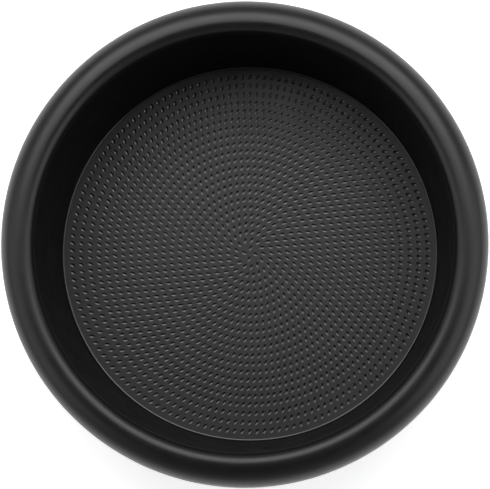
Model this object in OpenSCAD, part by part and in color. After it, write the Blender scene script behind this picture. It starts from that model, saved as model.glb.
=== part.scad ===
// Deep black prospecting pan: one moulding with a pitted floor, a steep wall and a rolled rim.
// It is drawn as eight zones that meet face to face. Z is up, and the foot stands on z = 0.

/* [Pan] */
// Diameter over the rim
pan_d = 260; // [240:2:280]
// Height from the foot to the crest of the rim
pan_h = 85; // [70:1:105]
// Thickness of the moulding, the same in the floor, the wall and the rim
skin_t = 2.8; // [2.2:0.1:3.2]
// Lean of the wall away from the vertical, in degrees, which lets the pan leave its mould
wall_draft = 6.8; // [4:0.1:9]
// Radius of the inner corner where the floor turns up into the wall
corner_r = 1.5; // [1:0.1:2.5]

/* [Rim] */
// Radius of the rim's inner shoulder, on its upper face
shoulder_r = 6.4; // [5:0.2:8]
// Radius of the rim's outer roll, on its upper face
roll_r = 12; // [9:0.5:14]
// Length of the straight lip that hangs from the roll
skirt_h = 7; // [4:0.5:12]

/* [Riffle pits] */
// Radius of the first ring of pits
first_ring_r = 3; // [2.9:0.1:4]
// Number of evenly set rings in the field
field_rings = 19; // [12:1:20]
// Number of wider set rings in the border
border_rings = 3; // [1:1:4]
// Distance from ring to ring in the border
border_pitch = 4.9; // [4.4:0.1:5.4]
// Distance from the last ring to the foot of the wall
plain_margin = 5.4; // [5:0.1:8]
// Distance from pit to pit along a ring
pit_spacing = 3.46; // [3.3:0.01:4.5]
// Number of pits in the first ring
centre_pits = 4; // [3:1:4]
// Largest number of pits in a ring
most_pits = 150; // [100:1:150]
// Length of a pit
pit_l = 3.2; // [2.4:0.1:3.2]
// Width of a pit
pit_w = 1.6; // [1:0.1:1.8]
// Depth of a pit
pit_depth = 0.4; // [0.3:0.1:1.2]
// Turn of each pit away from the radius, in degrees
pit_slant = 30; // [20:1:40]
// Distance that each pit stands beside its own radius
pit_offset = 0.6; // [0:0.1:0.8]
// Angle of the radius on which every ring starts
ring_start = 3.9; // [0:0.1:10]

/* [Foot] */
// Height of the foot ring
foot_h = 2.2; // [1.6:0.1:3]
// Width of the foot ring
foot_w = 5; // [3:0.5:7]
// Distance from the foot ring in to the foot of the wall
foot_inset = 10; // [6:0.5:20]

/* [Hidden] */
$fn = 180;
pan_colour = "#1c1c1d";

// Levels of the floor, which is skin_t thick above the foot
floor_under = foot_h;
floor_top = foot_h + skin_t;

// Unit vector across the wall, from its inner face to its outer face
across = [cos(wall_draft), -sin(wall_draft)];

// The shoulder and the roll meet at the crest of the rim, where both are level
crest_r = pan_d / 2 - roll_r;
shoulder_c = [crest_r, pan_h - shoulder_r];
roll_c = [crest_r, pan_h - roll_r];

// The wall's inner face starts on the floor plane and touches the shoulder
wall_in_top = shoulder_c - shoulder_r * across;
wall_foot_r = wall_in_top[0] - (wall_in_top[1] - floor_top) * tan(wall_draft);

// Centre of the corner round, which touches the floor and the wall
corner_c = [wall_foot_r + corner_r * tan(wall_draft) - corner_r / cos(wall_draft),
            floor_top + corner_r];

// Rings are set inwards from the wall, and the field's rings share what is left evenly
last_ring_r = wall_foot_r - plain_margin;
field_last_r = last_ring_r - border_pitch * border_rings;
field_pitch = (field_last_r - first_ring_r) / (field_rings - 1);
field_edge_r = field_last_r + border_pitch / 2;

// Radius of the rounded bottom of a pit, from its length and depth
pit_bottom_r = (pit_l * pit_l / 4 + pit_depth * pit_depth) / (2 * pit_depth);

foot_out_r = wall_foot_r - foot_inset;

function ring_r(k) = k < field_rings
    ? first_ring_r + field_pitch * k
    : field_last_r + border_pitch * (k - field_rings + 1);
function ring_pits(k) = k == 0
    ? centre_pits
    : min(most_pits, round(2 * PI * ring_r(k) / pit_spacing));

// Flat ring from radius r0 to r1, standing on z0
module flat_ring(r0, r1, z0, h) {
    translate([0, 0, z0])
        difference() {
            cylinder(r = r1, h = h);
            translate([0, 0, -1])
                cylinder(r = r0, h = h + 2);
        }
}

// Band of an annulus about centre c, between two directions under 180 degrees apart
module arc_band(c, r_in, r_out, from, to) {
    reach = 4 * r_out;
    translate(c)
        intersection() {
            difference() {
                circle(r = r_out);
                circle(r = r_in);
            }
            polygon([
                [0, 0],
                reach * [cos(from), sin(from)],
                reach * [cos((from + to) / 2), sin((from + to) / 2)],
                reach * [cos(to), sin(to)]
            ]);
        }
}

// Short upright disc sunk in the floor, so that its edge leaves a slot with a round bottom
module pit_cutter() {
    translate([0, 0, floor_top + pit_bottom_r - pit_depth])
        rotate([90, 0, 0])
            cylinder(r = pit_bottom_r, h = pit_w, center = true, $fn = 48);
}

// Cutters of rings first to last, each ring evenly filled from the same start
module ring_cutters(first, last) {
    for (k = [first : last])
        for (i = [0 : ring_pits(k) - 1])
            rotate([0, 0, ring_start + 360 * i / ring_pits(k)])
                translate([ring_r(k), -pit_offset, 0])
                    rotate([0, 0, -pit_slant])
                        pit_cutter();
}

// Disc in the middle of the floor, with the closely set rings
module riffle_field() {
    color(pan_colour)
        difference() {
            translate([0, 0, floor_under])
                cylinder(r = field_edge_r, h = skin_t);
            ring_cutters(0, field_rings - 1);
        }
}

// Ring round the field, with the wider set rings and the plain margin
module riffle_border() {
    color(pan_colour)
        difference() {
            flat_ring(field_edge_r, corner_c[0], floor_under, skin_t);
            ring_cutters(field_rings, field_rings + border_rings - 1);
        }
}

// Quarter round that turns the floor up into the wall
module floor_corner() {
    color(pan_colour)
        rotate_extrude()
            arc_band(corner_c, corner_r, corner_r + skin_t, -90, -wall_draft);
}

// Steep conical wall between the corner and the shoulder
module side_wall() {
    color(pan_colour)
        rotate_extrude()
            polygon([
                corner_c + corner_r * across,
                corner_c + (corner_r + skin_t) * across,
                shoulder_c - (shoulder_r - skin_t) * across,
                wall_in_top
            ]);
}

// Tight turn from the top of the wall to the crest
module rim_shoulder() {
    color(pan_colour)
        rotate_extrude()
            arc_band(shoulder_c, shoulder_r - skin_t, shoulder_r, 90, 180 - wall_draft);
}

// Broad turn from the crest to the widest part of the pan
module rim_roll() {
    color(pan_colour)
        rotate_extrude()
            arc_band(roll_c, roll_r - skin_t, roll_r, 0, 90);
}

// Straight lip under the roll, with a fully rounded lower edge
module rim_skirt() {
    lip_r = skin_t / 2;
    straight_h = skirt_h - lip_r;
    color(pan_colour)
        rotate_extrude()
            translate([pan_d / 2 - lip_r, roll_c[1] - straight_h]) {
                translate([-lip_r, 0])
                    square([skin_t, straight_h]);
                circle(r = lip_r);
            }
}

// Narrow raised ring under the floor, on which the pan stands
module foot_ring() {
    color(pan_colour)
        flat_ring(foot_out_r - foot_w, foot_out_r, 0, foot_h);
}

riffle_field();
riffle_border();
floor_corner();
side_wall();
rim_shoulder();
rim_roll();
rim_skirt();
foot_ring();
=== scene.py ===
import math

import bpy
import numpy as np
from mathutils import Matrix, Vector


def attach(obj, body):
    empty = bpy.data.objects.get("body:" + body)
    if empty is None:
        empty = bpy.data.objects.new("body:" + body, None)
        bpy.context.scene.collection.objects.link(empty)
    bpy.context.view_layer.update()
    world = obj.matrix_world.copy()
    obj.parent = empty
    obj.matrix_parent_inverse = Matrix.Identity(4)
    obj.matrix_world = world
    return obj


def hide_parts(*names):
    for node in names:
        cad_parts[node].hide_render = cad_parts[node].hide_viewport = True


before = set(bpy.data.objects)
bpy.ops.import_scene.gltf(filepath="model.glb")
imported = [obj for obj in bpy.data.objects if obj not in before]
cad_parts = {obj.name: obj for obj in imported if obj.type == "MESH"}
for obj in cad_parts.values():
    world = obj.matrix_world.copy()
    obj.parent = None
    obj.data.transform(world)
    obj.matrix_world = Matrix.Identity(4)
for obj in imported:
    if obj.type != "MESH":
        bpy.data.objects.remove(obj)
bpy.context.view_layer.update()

millimetre = 0.001
facesRound = 360    # round the pan, the same at every seam between two zones, so that they meet exactly


def nodeSize(name):
    # smallest and largest distance from the pan's axis, and lowest and highest level, of one round zone
    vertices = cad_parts[name].data.vertices
    places = np.empty(len(vertices) * 3, np.float32)
    vertices.foreach_get("co", places)
    places = places.reshape(-1, 3).astype(float)
    radius = np.hypot(places[:, 0], places[:, 1])
    return dict(inner=radius.min(), outer=radius.max(), low=places[:, 2].min(), high=places[:, 2].max())


field = nodeSize("riffle_field")
border = nodeSize("riffle_border")
roll = nodeSize("rim_roll")
skirt = nodeSize("rim_skirt")
foot = nodeSize("foot_ring")
skin = field["high"] - field["low"]
print("measured the frame: rim", round(2 * roll["outer"] / millimetre, 1), "mm across")


def arc(centre, radius, start, end, steps):
    # points on a circle from one angle to another: centre + radius (cos angle, sin angle)
    angle = np.linspace(start, end, steps + 1)
    return np.asarray(centre) + radius * np.stack([np.cos(angle), np.sin(angle)], 1)


def straight(a, b, steps=1):
    # evenly spaced points from a to b: a (1 - share) + b share
    share = np.linspace(0, 1, steps + 1)[:, None]
    return np.asarray(a) * (1 - share) + np.asarray(b) * share


def turnedMesh(name, runs):
    # A closed section, given as runs of points that go round it with the plastic on their left, is turned
    # about Z: point i at turn j is (r_i cos a_j, r_i sin a_j, z_i). Each run is smooth and the joins
    # between runs are sharp, so the normals are the run's own, at right angles to its travel.
    first, normalA, normalB = [], [], []
    for run in runs:
        travel = np.gradient(run, axis=0)
        if len(run) > 2:
            travel[0] = 2 * travel[0] - travel[1]
            travel[-1] = 2 * travel[-1] - travel[-2]
        normal = np.stack([travel[:, 1], -travel[:, 0]], 1)
        normal /= np.linalg.norm(normal, axis=1, keepdims=True)
        first.append(run[:-1])
        normalA.append(normal[:-1])
        normalB.append(normal[1:])
    first, normalA, normalB = map(np.concatenate, (first, normalA, normalB))
    angle = np.arange(facesRound) * 2 * np.pi / facesRound
    turn = np.stack([np.cos(angle), np.sin(angle)], 1)
    count = len(first)

    def swung(section):
        upright = np.broadcast_to(section[:, None, 1:], (count, facesRound, 1))
        return np.concatenate([section[:, None, :1] * turn[None], upright], 2)

    def ahead(grid):
        return np.roll(grid, -1, 1)

    places = swung(first).reshape(-1, 3)
    here = np.arange(count * facesRound).reshape(count, facesRound)
    after = np.roll(here, -1, 0)
    faces = np.stack([here, ahead(here), ahead(after), after], 2)
    startNormals, endNormals = swung(normalA), swung(normalB)
    corners = np.stack([startNormals, ahead(startNormals), ahead(endNormals), endNormals], 2)
    return meshFrom(name, places, [(faces.reshape(-1, 4), corners.reshape(-1, 3))])


def meshFrom(name, places, parts):
    # fills a mesh; each part is an array of faces and one normal for each of their corners
    mesh = bpy.data.meshes.new(name)
    mesh.from_pydata(places.tolist(), [], [face for faces, _ in parts for face in faces.tolist()])
    mesh.update()
    mesh.polygons.foreach_set("use_smooth", np.ones(len(mesh.polygons), bool))
    mesh.normals_split_custom_set(np.concatenate([normals.reshape(-1, 3) for _, normals in parts]).tolist())
    return mesh


def addPiece(name, mesh, node, *materials):
    # puts a mesh in the scene in place of the CAD node whose shape it has
    piece = bpy.data.objects.new(name, mesh)
    bpy.context.scene.collection.objects.link(piece)
    for material in materials:
        piece.data.materials.append(material)
    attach(piece, "root")
    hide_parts(node)


def linear(hexColour):
    # sRGB hex to linear light, by the standard's own curve
    parts = [int(hexColour[k:k + 2], 16) / 255 for k in (1, 3, 5)]
    return [p / 12.92 if p <= 0.04045 else ((p + 0.055) / 1.055) ** 2.4 for p in parts] + [1]


def addNode(tree, kind, **inputs):
    # adds a node; an input is a value or another node's output
    node = tree.nodes.new(kind)
    for key, value in inputs.items():
        socket = node.inputs[key.replace("_", " ")]
        if isinstance(value, bpy.types.NodeSocket):
            tree.links.new(value, socket)
        else:
            socket.default_value = value
    return node


blackPolypropylene = dict(
    colour="#0a0a0b",
    ior=1.49,
    grain=dict(size=0.5 * millimetre, detail=2.0, fineness=0.5, height=0.05 * millimetre, strength=0.15),
    cloud=dict(size=14 * millimetre, detail=3.0, fineness=0.6, thin=0.3, thick=0.7),
    tilted=0.985,    # upright share of the normal below which the floor counts as pit
    level=0.998,     # and above which it counts as land
    finishes=dict(
        rim=dict(roughness=0.36, haze=0.03, mirror=0.4),
        floor=dict(roughness=0.43, haze=0.03, mirror=0.5, pitRoughness=0.22),
        wall=dict(roughness=0.50, haze=0.05, mirror=0.4),
        # the inside of the wall: the wall's finish with a weaker mirror, painted shade
        paintedShadeInside=dict(roughness=0.50, haze=0.05, mirror=0.1),
    ),
)


def makeBlackPolypropylene(zone):
    # Injection moulded polypropylene, coloured right through with carbon black. The eye sees almost no
    # colour, only the room's light on the skin: clear on the smooth rim, softer on the floor's flat land,
    # sharp in its pits, which polished pins form, and soft on the wall. The inside of the wall is a copy of
    # the wall's finish with its mirror turned down, which is painted shade for the inside that lies in
    # shade. The grain is the mould's spark-eroded texture, drawn coarser than the real one so that it shows,
    # and the cloud is the faint unevenness that the flow of the plastic leaves in its gloss.
    spec, finish = blackPolypropylene, blackPolypropylene["finishes"][zone]
    grain, cloud = spec["grain"], spec["cloud"]
    material = bpy.data.materials.new("black moulded polypropylene, " + zone)
    material.use_nodes = True
    tree = material.node_tree
    tree.nodes.clear()
    place = addNode(tree, "ShaderNodeTexCoord").outputs["Object"]
    grainNoise = addNode(tree, "ShaderNodeTexNoise", Vector=place, Scale=1 / grain["size"],
                         Detail=grain["detail"], Roughness=grain["fineness"])
    bump = addNode(tree, "ShaderNodeBump", Height=grainNoise.outputs["Fac"], Strength=grain["strength"],
                   Distance=grain["height"])
    cloudNoise = addNode(tree, "ShaderNodeTexNoise", Vector=place, Scale=1 / cloud["size"],
                         Detail=cloud["detail"], Roughness=cloud["fineness"])
    gloss = addNode(tree, "ShaderNodeMapRange", Value=cloudNoise.outputs["Fac"],
                    From_Min=cloud["thin"], From_Max=cloud["thick"],
                    To_Min=finish["roughness"] - finish["haze"], To_Max=finish["roughness"] + finish["haze"])
    if "pitRoughness" in finish:
        # whatever isn't level belongs to a pit, or to the round at the floor's edge
        skinNormal = addNode(tree, "ShaderNodeNewGeometry").outputs["Normal"]
        upright = addNode(tree, "ShaderNodeSeparateXYZ", Vector=skinNormal).outputs["Z"]
        gloss = addNode(tree, "ShaderNodeMapRange", Value=upright,
                        From_Min=spec["tilted"], From_Max=spec["level"],
                        To_Min=finish["pitRoughness"], To_Max=gloss.outputs["Result"])
    shader = addNode(tree, "ShaderNodeBsdfPrincipled", Base_Color=linear(spec["colour"]), IOR=spec["ior"],
                     Specular_IOR_Level=finish["mirror"], Roughness=gloss.outputs["Result"],
                     Normal=bump.outputs["Normal"])
    addNode(tree, "ShaderNodeOutputMaterial", Surface=shader.outputs["BSDF"])
    return material


rimPlastic = makeBlackPolypropylene("rim")
floorPlastic = makeBlackPolypropylene("floor")
wallPlastic = makeBlackPolypropylene("wall")
# a shaded copy of the wall's plastic, its mirror turned down as painted shade for the inside
paintedShadeWallPlastic = makeBlackPolypropylene("paintedShadeInside")
print("the plastic's four finishes are mixed")


floorCorner = dict(
    radius=1.5 * millimetre,         # inner round between floor and wall
    steps=10,
)
sideWall = dict(
    draft=math.radians(6.8),         # lean outwards
    steps=20,
)
rimShoulder = dict(
    radius=6.4 * millimetre,         # upper face of the rim's inner turn
    steps=24,
)
rimRoll = dict(
    radius=roll["high"] - roll["low"],
    steps=28,
)
rimSkirt = dict(
    lipSteps=16,
    sideSteps=4,
)
footRing = dict(
    edge=0.6 * millimetre,           # round at each side of the tread
    edgeSteps=4,
    treadSteps=2,
)
crestRadius = roll["outer"] - rimRoll["radius"]
cornerCentre = np.array([border["outer"], field["high"] + floorCorner["radius"]])
shoulderCentre = np.array([crestRadius, roll["high"] - rimShoulder["radius"]])
rollCentre = np.array([crestRadius, roll["low"]])


def bandSection(centre, outerRadius, start, end, steps):
    # an arc of even thickness: out along its outer side, back along its inner side
    outer = arc(centre, outerRadius, start, end, steps)
    inner = arc(centre, outerRadius - skin, end, start, steps)
    return [outer, straight(outer[-1], inner[0]), inner, straight(inner[-1], outer[0])]


def addSideWall():
    # straight between the points where the rounds above and below touch it
    draft, steps = sideWall["draft"], sideWall["steps"]
    below, above = floorCorner["radius"], rimShoulder["radius"]
    across = np.array([math.cos(draft), -math.sin(draft)])    # through the wall, from inside to outside
    lowIn, lowOut = cornerCentre + below * across, cornerCentre + (below + skin) * across
    topIn, topOut = shoulderCentre - above * across, shoulderCentre - (above - skin) * across
    mesh = turnedMesh("sideWall", [straight(lowIn, lowOut), straight(lowOut, topOut, steps),
                                   straight(topOut, topIn), straight(topIn, lowIn, steps)])
    # the last run is the inside of the wall, which takes the second material, the copy whose weaker mirror
    # paints its shade
    finish = np.zeros(len(mesh.polygons), np.int32)
    finish[-steps * facesRound:] = 1
    mesh.polygons.foreach_set("material_index", finish)
    addPiece("sideWall", mesh, "side_wall", wallPlastic, paintedShadeWallPlastic)


def skirtSection():
    # two upright sides on a half-round lip as thick as the skin
    lipRadius = skin / 2
    lipZ = skirt["low"] + lipRadius
    midR = skirt["outer"] - lipRadius
    lip = arc([midR, lipZ], lipRadius, math.pi, 2 * math.pi, rimSkirt["lipSteps"])
    outTop, inTop = np.array([midR + lipRadius, skirt["high"]]), np.array([midR - lipRadius, skirt["high"]])
    return [lip, straight(lip[-1], outTop, rimSkirt["sideSteps"]), straight(outTop, inTop),
            straight(inTop, lip[0], rimSkirt["sideSteps"])]


def footSection():
    # a rectangle whose two lower corners are quarter rounds
    edge, steps = footRing["edge"], footRing["edgeSteps"]
    footIn, footOut = foot["inner"], foot["outer"]
    tread = straight([footIn + edge, foot["low"]], [footOut - edge, foot["low"]], footRing["treadSteps"])
    outerEdge = arc([footOut - edge, foot["low"] + edge], edge, -math.pi / 2, 0, steps)
    innerEdge = arc([footIn + edge, foot["low"] + edge], edge, math.pi, 1.5 * math.pi, steps)
    topOut, topIn = [footOut, foot["high"]], [footIn, foot["high"]]
    return [tread, outerEdge, straight(outerEdge[-1], topOut), straight(topOut, topIn),
            straight(topIn, innerEdge[0]), innerEdge]


def addTurnedPieces():
    quarter, draft = math.pi / 2, sideWall["draft"]
    corner = bandSection(cornerCentre, floorCorner["radius"] + skin, -quarter, -draft, floorCorner["steps"])
    shoulder = bandSection(shoulderCentre, rimShoulder["radius"], quarter, math.pi - draft,
                           rimShoulder["steps"])
    roller = bandSection(rollCentre, rimRoll["radius"], 0, quarter, rimRoll["steps"])
    for name, section, node, material in (
        ("floorCorner", corner, "floor_corner", floorPlastic),
        ("rimShoulder", shoulder, "rim_shoulder", rimPlastic),
        ("rimRoll", roller, "rim_roll", rimPlastic),
        ("rimSkirt", skirtSection(), "rim_skirt", rimPlastic),
        ("footRing", footSection(), "foot_ring", rimPlastic),
    ):
        addPiece(name, turnedMesh(name, section), node, material)


addSideWall()
addTurnedPieces()
print("wall, rim and foot are turned")


pit = dict(
    halfLength=1.65 * millimetre,
    halfWidth=0.88 * millimetre,
    depth=0.25 * millimetre,
    round=1.15,                      # 1 makes an inverted cone, 2 a rounded bowl
    steps=(1.0, 0.92, 0.3),          # shares of the outline where the bowl's rows of vertices lie
    edgeShare=0.999,                 # from here outwards the normals are upright, so the edge looks rounded
    sideFaces=4,                     # faces on each of the four sides of a pit's cell
    slant=math.radians(30),          # clockwise from the pit's own radius, seen from above
    offset=0.6 * millimetre,         # of the pit's middle from that radius, clockwise too
)
rings = dict(
    firstRadius=3 * millimetre,      # from the pan's axis to the middles of the first ring's pits
    fieldRings=19,
    borderRings=3,
    borderPitch=4.9 * millimetre,    # from ring to ring in the border
    margin=5.4 * millimetre,         # from the last ring to where the wall would meet the floor
    spacing=3.46 * millimetre,       # from pit to pit along a ring
    centrePits=4,                    # in the first ring
    mostPits=150,                    # in any ring
    start=math.radians(3.9),         # where each ring begins
    gap=0.5 * millimetre,            # flat strip between the cells of two rings, which joins their edges
)


def bowl(share):
    # level of a pit at a share of its outline: -depth (1 - share^round)
    return -pit["depth"] * (1 - share ** pit["round"])


def bowlNormal(x, y):
    # the bowl's gradient, depth round share^(round - 1), turned into a normal; x and y are along and
    # across the pit
    share = np.sqrt((x / pit["halfLength"]) ** 2 + (y / pit["halfWidth"]) ** 2)
    inside = share < pit["edgeShare"]
    steep = pit["depth"] * pit["round"] * share ** (pit["round"] - 2) * inside
    normal = np.stack([-steep * x / pit["halfLength"] ** 2, -steep * y / pit["halfWidth"] ** 2,
                       np.ones_like(x)], -1)
    return normal / np.linalg.norm(normal, axis=-1, keepdims=True)


def zipper(anglesA, indexA, anglesB, indexB):
    # Fills the strip between two circles of vertices, A inside B: going round, each vertex that is passed
    # makes a triangle with the one before it on its own circle and the last one passed on the other.
    orderA, orderB = np.argsort(anglesA), np.argsort(anglesB)
    a, ia = anglesA[orderA], indexA[orderA]
    b, ib = anglesB[orderB], indexB[orderB]
    lastB = ib[np.searchsorted(b, a, side="right") - 1]
    lastA = ia[np.searchsorted(a, b, side="left") - 1]
    return np.concatenate([
        np.stack([np.roll(ia, 1), lastB, ia], 1),
        np.stack([lastA, np.roll(ib, 1), ib], 1),
    ])


def ringOfPits(radius, count, half, top):
    # One ring of cells. Row 0 is the cell's own edge, half a pitch to each side, and the other rows are the
    # pit's ellipse shrunk towards its middle, the last of which is closed by a strip of faces. A point at
    # (x, y) of the cell whose middle lies at angle a goes to (x cos a - y sin a, x sin a + y cos a).
    side = pit["sideFaces"]
    points = 4 * side
    middle = np.arange(count) * 2 * np.pi / count + rings["start"]
    lean = -math.atan2(pit["offset"], radius)
    reach = np.pi / count
    share = np.arange(side) / side
    # the cell's edge in polar form, anticlockwise from its outer clockwise corner
    edgeAngle = np.concatenate([-reach + 2 * reach * share, np.full(side, reach), reach - 2 * reach * share,
                                np.full(side, -reach)]) + lean
    edgeRadius = np.concatenate([np.full(side, radius + half), radius + half - 2 * half * share,
                                 np.full(side, radius - half), radius - half + 2 * half * share])
    turns = middle[:, None] + edgeAngle[None]
    edge = np.stack([edgeRadius * np.cos(turns), edgeRadius * np.sin(turns), np.full_like(turns, top)], -1)
    around = np.arange(points) * 2 * np.pi / points
    rows, normals = [edge], [np.broadcast_to([0.0, 0.0, 1.0], edge.shape)]
    cosS, sinS = math.cos(-pit["slant"]), math.sin(-pit["slant"])
    cosM, sinM = np.cos(middle)[:, None], np.sin(middle)[:, None]
    for step in pit["steps"]:
        along = step * pit["halfLength"] * np.cos(around)
        over = step * pit["halfWidth"] * np.sin(around)
        x = radius + along * cosS - over * sinS
        y = -pit["offset"] + along * sinS + over * cosS
        level = np.full((count, points), top + bowl(step))
        rows.append(np.stack([cosM * x - sinM * y, sinM * x + cosM * y, level], -1))
        n = bowlNormal(along, over)
        nx, ny = n[:, 0] * cosS - n[:, 1] * sinS, n[:, 0] * sinS + n[:, 1] * cosS
        nz = np.broadcast_to(n[:, 2], (count, points))
        normals.append(np.stack([cosM * nx - sinM * ny, sinM * nx + cosM * ny, nz], -1))
    places = np.stack(rows, 1)
    index = np.arange(count * len(rows) * points).reshape(count, len(rows), points)
    # a cell takes the vertices of its anticlockwise side from its neighbour
    shared = np.arange(side + 1)
    index[:, 0, side + shared] = np.roll(index[:, 0], -1, 0)[:, (points - shared) % points]
    nextPoint = np.roll(index, -1, 2)
    faces = np.stack([index[:, :-1], nextPoint[:, :-1], nextPoint[:, 1:], index[:, 1:]], -1).reshape(-1, 4)
    last = index[:, -1]
    k = np.arange(points // 2 - 1)
    cap = np.stack([last[:, k], last[:, k + 1], last[:, points - 2 - k], last[:, points - 1 - k]], -1)
    outer, inner = index[:, 0, :side], index[:, 0, 2 * side:3 * side]
    return dict(
        places=places.reshape(-1, 3),
        normals=np.stack(normals, 1).reshape(-1, 3),
        faces=np.concatenate([faces, cap.reshape(-1, 4)]),
        outer=(turns[:, :side].ravel() % (2 * np.pi), outer.ravel()),
        inner=(turns[:, 2 * side:3 * side].ravel() % (2 * np.pi), inner.ravel()),
    )


def circleOf(radius, level):
    # the angles and the vertices of a level circle: (radius cos angle, radius sin angle, level)
    angle = np.arange(facesRound) * 2 * np.pi / facesRound
    return angle, np.stack([radius * np.cos(angle), radius * np.sin(angle), np.full(facesRound, level)], 1)


def pittedSheet(first, last, pitch, innerEdge, outerEdge):
    # The floor's upper face with rings first to last: zippers join each ring to the next and to the plain
    # circles at the edges. Returns its vertices, their normals, its faces, and the circles' own vertices.
    top, half = field["high"], (pitch - rings["gap"]) / 2
    places, normals, faces, circles = [], [], [], []
    total, previous = 0, None
    edges = [("circle", innerEdge)] + [("ring", k) for k in range(first, last + 1)] + [("circle", outerEdge)]
    for kind, value in edges:
        if value is None:
            continue
        if kind == "circle":
            angle, at = circleOf(value, top)
            own = (angle, np.arange(facesRound))
            ring = dict(places=at, normals=np.tile([0.0, 0.0, 1.0], (facesRound, 1)), outer=own, inner=own)
            circles.append(total + np.arange(facesRound))
        else:
            ring = ringOfPits(ringRadius(value), ringCount(value), half, top)
            faces.append(ring["faces"] + total)
        angleIn, indexIn = ring["inner"][0], ring["inner"][1] + total
        if previous is not None:
            faces.append(zipper(*previous, angleIn, indexIn))
        elif kind == "ring":
            # a fan closes the middle
            fan = indexIn[np.argsort(angleIn)]
            hub = total + len(ring["places"])
            faces.append(np.stack([np.full_like(fan, hub), fan, np.roll(fan, -1)], 1))
            ring["places"] = np.concatenate([ring["places"], [[0, 0, top]]])
            ring["normals"] = np.concatenate([ring["normals"], [[0, 0, 1]]])
        previous = ring["outer"][0], ring["outer"][1] + total
        places.append(ring["places"])
        normals.append(ring["normals"])
        total += len(ring["places"])
    return np.concatenate(places), np.concatenate(normals), faces, circles


# where the inside of the wall would meet the floor if there were no round between them
halfTurn = 1 / math.cos(sideWall["draft"]) - math.tan(sideWall["draft"])
wallFoot = cornerCentre[0] + floorCorner["radius"] * halfTurn
fieldLast = wallFoot - rings["margin"] - rings["borderPitch"] * rings["borderRings"]
fieldPitch = (fieldLast - rings["firstRadius"]) / (rings["fieldRings"] - 1)
ringsInAll = rings["fieldRings"] + rings["borderRings"]


def ringRadius(k):
    # evenly spaced up to the field's last ring, and further apart in the border
    if k < rings["fieldRings"]:
        return rings["firstRadius"] + fieldPitch * k
    return fieldLast + rings["borderPitch"] * (k - rings["fieldRings"] + 1)


def ringCount(k):
    # the ring's length divided by the spacing, to the nearest whole pit
    if k == 0:
        return rings["centrePits"]
    return min(rings["mostPits"], round(2 * math.pi * ringRadius(k) / rings["spacing"]))


def addFloorPiece(name, node, first, last, pitch, innerEdge, outerEdge):
    # the pitted sheet, given its thickness by an underside and by upright edges
    places, normals, faces, circles = pittedSheet(first, last, pitch, innerEdge, outerEdge)

    def ahead(circle):
        return np.roll(circle, -1, 0)

    angle, outerLow = circleOf(outerEdge, field["low"])
    radial = np.stack([np.cos(angle), np.sin(angle), np.zeros(facesRound)], 1)
    topOuter, lowOuter = circles[-1], len(places) + np.arange(facesRound)
    places = np.concatenate([places, outerLow])
    parts = [(f, normals[f]) for f in faces]
    outward = np.stack([topOuter, lowOuter, ahead(lowOuter), ahead(topOuter)], 1)
    parts.append((outward, np.stack([radial, radial, ahead(radial), ahead(radial)], 1)))
    if innerEdge is None:
        hub = np.full(facesRound, len(places))
        places = np.concatenate([places, [[0, 0, field["low"]]]])
        under = np.stack([hub, ahead(lowOuter), lowOuter], 1)
    else:
        topInner, lowInner = circles[0], len(places) + np.arange(facesRound)
        places = np.concatenate([places, circleOf(innerEdge, field["low"])[1]])
        inward = np.stack([topInner, ahead(topInner), ahead(lowInner), lowInner], 1)
        parts.append((inward, -np.stack([radial, ahead(radial), ahead(radial), radial], 1)))
        under = np.stack([lowInner, ahead(lowInner), ahead(lowOuter), lowOuter], 1)
    parts.append((under, np.broadcast_to([0.0, 0.0, -1.0], (*under.shape, 3))))
    # the vertices that no face uses are dropped
    used = np.unique(np.concatenate([f.ravel() for f, _ in parts]))
    renumber = np.zeros(len(places), int)
    renumber[used] = np.arange(len(used))
    parts = [(renumber[f], n) for f, n in parts]
    addPiece(name, meshFrom(name, places[used], parts), node, floorPlastic)


addFloorPiece("riffleField", "riffle_field", 0, rings["fieldRings"] - 1, fieldPitch, None, field["outer"])
addFloorPiece("riffleBorder", "riffle_border", rings["fieldRings"], ringsInAll - 1, rings["borderPitch"],
              border["inner"], border["outer"])
print("riffle floor has", sum(ringCount(k) for k in range(ringsInAll)), "pits")


stage = dict(
    size=8.0,
    colour="#f4f4f4",
    roughness=0.9,
    glow=0.55,                       # light of its own, so that it stays white under the rim
)


def addStage():
    # a square table at the level of the pan's foot
    half = stage["size"] / 2
    corners = [(-half, -half, 0), (half, -half, 0), (half, half, 0), (-half, half, 0)]
    mesh = bpy.data.meshes.new("paleFloor")
    mesh.from_pydata(corners, [], [(0, 1, 2, 3)])
    floor = bpy.data.objects.new("paleFloor", mesh)
    bpy.context.scene.collection.objects.link(floor)
    material = bpy.data.materials.new("pale table")
    material.use_nodes = True
    shader = material.node_tree.nodes["Principled BSDF"]
    shader.inputs["Base Color"].default_value = linear(stage["colour"])
    shader.inputs["Roughness"].default_value = stage["roughness"]
    shader.inputs["Specular IOR Level"].default_value = 0.0
    shader.inputs["Emission Color"].default_value = (1, 1, 1, 1)
    shader.inputs["Emission Strength"].default_value = stage["glow"]
    mesh.materials.append(material)


studio = dict(
    colour="#fdfdff",                # of the soft boxes
    overhead=0.03,                   # brightness of the room above the pan
    overheadFrom=0.9,                # upright share of a direction that counts as overhead
    horizon=0.5,                     # brightness of the room all round it, low down
    horizonTo=0.2,                   # upright share of a direction that still counts as low
    boxes=dict(
        behind=dict(size=(2.2, 1.15), place=(0.0, 0.765, 1.3), brightness=3.3),
        strip=dict(size=(2.2, 0.25), place=(0.0, 0.9, 1.22), brightness=2.1),
        right=dict(size=(1.6, 1.2), place=(1.25, -0.2, 1.0), brightness=1.5),
        left=dict(size=(1.6, 1.2), place=(-1.25, -0.2, 1.0), brightness=1.1),
    ),
)


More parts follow.
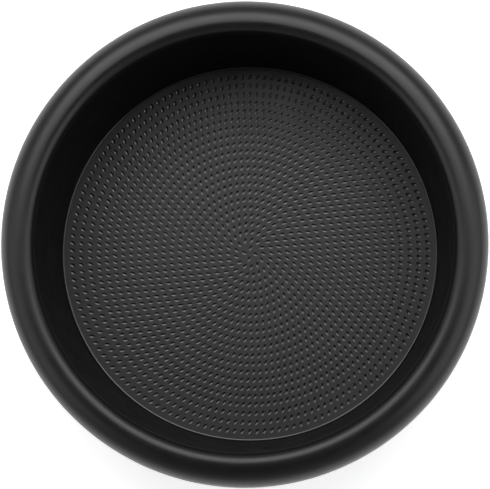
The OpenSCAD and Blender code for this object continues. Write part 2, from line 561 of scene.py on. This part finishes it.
def addSoftBox(name, spec):
    # a rectangular light that faces the pan; its power is its brightness times pi times its area
    width, depth = spec["size"]
    data = bpy.data.lights.new(name, "AREA")
    data.shape = "RECTANGLE"
    data.size, data.size_y = width, depth
    data.color = linear(studio["colour"])[:3]
    data.energy = spec["brightness"] * math.pi * width * depth
    lamp = bpy.data.objects.new(name, data)
    bpy.context.scene.collection.objects.link(lamp)
    lamp.location = spec["place"]
    toPan = Vector((0, 0, roll["low"])) - lamp.location
    lamp.rotation_euler = toPan.to_track_quat("-Z", "Y").to_euler()


def addStudio():
    # the room's brightness falls evenly with height, and the soft boxes hang in it
    world = bpy.data.worlds.new("studio")
    bpy.context.scene.world = world
    world.use_nodes = True
    tree = world.node_tree
    background = tree.nodes["Background"]
    background.inputs["Color"].default_value = (1, 1, 1, 1)
    direction = addNode(tree, "ShaderNodeTexCoord").outputs["Generated"]
    height = addNode(tree, "ShaderNodeSeparateXYZ", Vector=direction).outputs["Z"]
    level = addNode(tree, "ShaderNodeMapRange", Value=height,
                    From_Min=studio["horizonTo"], From_Max=studio["overheadFrom"],
                    To_Min=studio["horizon"], To_Max=studio["overhead"])
    tree.links.new(level.outputs["Result"], background.inputs["Strength"])
    for name, spec in studio["boxes"].items():
        addSoftBox(name + "SoftBox", spec)


cameraView = dict(
    distance=2.5,
    azimuth=math.radians(27.98),
    elevation=math.radians(84.67),
    aim=(0.37 * millimetre, -0.58 * millimetre, roll["low"]),    # at the widest level of the rim
    angle=math.radians(5.977),
    farthest=20,                     # seen at most this far, which takes in the whole table
)


def addCamera():
    # turned so that the table's Y axis points up in the picture
    data = bpy.data.cameras.new("camera")
    data.angle = cameraView["angle"]
    data.clip_end = cameraView["farthest"]
    camera = bpy.data.objects.new("camera", data)
    bpy.context.scene.collection.objects.link(camera)
    turn, rise = cameraView["azimuth"], cameraView["elevation"]
    back = Vector((math.sin(turn) * math.cos(rise), -math.cos(turn) * math.cos(rise), math.sin(rise)))
    right = (-back).cross(Vector((0, 1, 0))).normalized()
    up = back.cross(right)
    turned = Matrix((right, up, back)).transposed().to_4x4()
    place = Vector(cameraView["aim"]) + back * cameraView["distance"]
    camera.matrix_world = Matrix.Translation(place) @ turned
    bpy.context.scene.camera = camera


addStage()
addStudio()
addCamera()
bpy.context.scene.view_settings.view_transform = "Standard"
print("stage, light and camera are in place")
